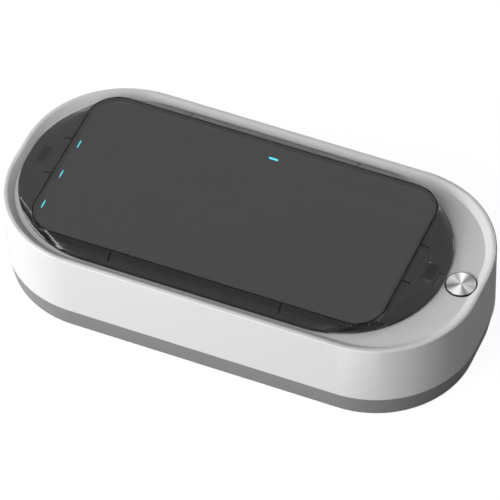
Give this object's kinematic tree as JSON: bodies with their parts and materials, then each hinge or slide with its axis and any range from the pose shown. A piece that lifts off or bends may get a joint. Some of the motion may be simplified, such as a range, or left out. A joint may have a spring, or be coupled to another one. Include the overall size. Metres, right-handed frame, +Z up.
{
  "type": "ultraviolet sanitizer box for phones",
  "caption": "Oval tabletop box with a smoke-tinted lift-off lid over a dark phone chamber with ultraviolet lamps, a charging floor and a round metal start button.",
  "frame": {"origin": "on the surface that the feet stand on, under the middle of the body", "axes": "+X along the body towards the start button, +Z up, -Y towards the user, +Y towards the power inlet"},
  "size_m": [0.222, 0.11, 0.049],
  "materials": {
    "white_shell": "smooth moulded ABS, satin gloss",
    "grey_base": "fine moulded texture, satin",
    "foot_rubber": "moulded, matte",
    "screw_steel": "rolled and zinc plated",
    "tub_plastic": "polished black moulding",
    "mat_rubber": "moulded silicone, matte",
    "lamp_glass": "clear, cool tint",
    "lamp_ceramic": "fired ceramic",
    "board_laminate": "solder-masked glass laminate",
    "winding_copper": "enamelled copper wire",
    "ferrite": "sintered, matte",
    "chip_epoxy": "moulded epoxy",
    "socket_steel": "drawn steel",
    "dark_trim": "moulded, satin",
    "spun_aluminium": "turned face, clear anodised",
    "stem_plastic": "moulded acetal",
    "spring_steel": "drawn wire and stamped sheet",
    "magnet_nickel": "nickel plated",
    "smoky_acrylic": "smoke-tinted transparent acrylic, polished",
    "seal_rubber": "matte"
  },
  "bodies": {
    "root": {"base_shell": "grey_base", "board_screws": "screw_steel", "button_bezel": "dark_trim", "chamber_tray": "tub_plastic", "charger_board": "board_laminate", "charger_chip": "chip_epoxy", "charging_coil": "winding_copper", "charging_mat": "mat_rubber", "control_board": "board_laminate", "deck_magnet_left": "magnet_nickel", "deck_magnet_right": "magnet_nickel", "ferrite_plate": "ferrite", "lamp_board_front": "board_laminate", "lamp_board_left": "board_laminate", "lamp_board_rear": "board_laminate", "lamp_board_right": "board_laminate", "lamp_windows_front": "lamp_glass", "lamp_windows_left": "lamp_glass", "lamp_windows_rear": "lamp_glass", "lamp_windows_right": "lamp_glass", "lid_sensor": "chip_epoxy", "power_inductor": "chip_epoxy", "rubber_feet": "foot_rubber", "shell_screws": "screw_steel", "tact_switch": "chip_epoxy", "upper_shell": "white_shell", "usb_socket": "socket_steel", "usb_tongue": "dark_trim", "uv_lamps_front": "lamp_ceramic", "uv_lamps_left": "lamp_ceramic", "uv_lamps_rear": "lamp_ceramic", "uv_lamps_right": "lamp_ceramic"},
    "lid": {"lid_frame": "smoky_acrylic", "lid_window": "smoky_acrylic", "window_seal": "seal_rubber", "lid_magnet_left": "magnet_nickel", "lid_magnet_right": "magnet_nickel"},
    "button": {"button_cap": "spun_aluminium", "button_stem": "stem_plastic", "button_clip": "spring_steel", "button_spring": "spring_steel", "switch_plunger": "dark_trim"}
  },
  "joints": [
    {"name": "lid_lift", "type": "slide", "parent": "root", "child": "lid", "axis": [0, 0, 1], "range_m": [0, 0.08]},
    {"name": "button_press", "type": "slide", "parent": "root", "child": "button", "axis": [0, 0, -1], "range_m": [0, 0.0008], "stiffness_N_per_m": 900, "springref_m": -0.0006, "deforming": ["button_spring"]}
  ]
}
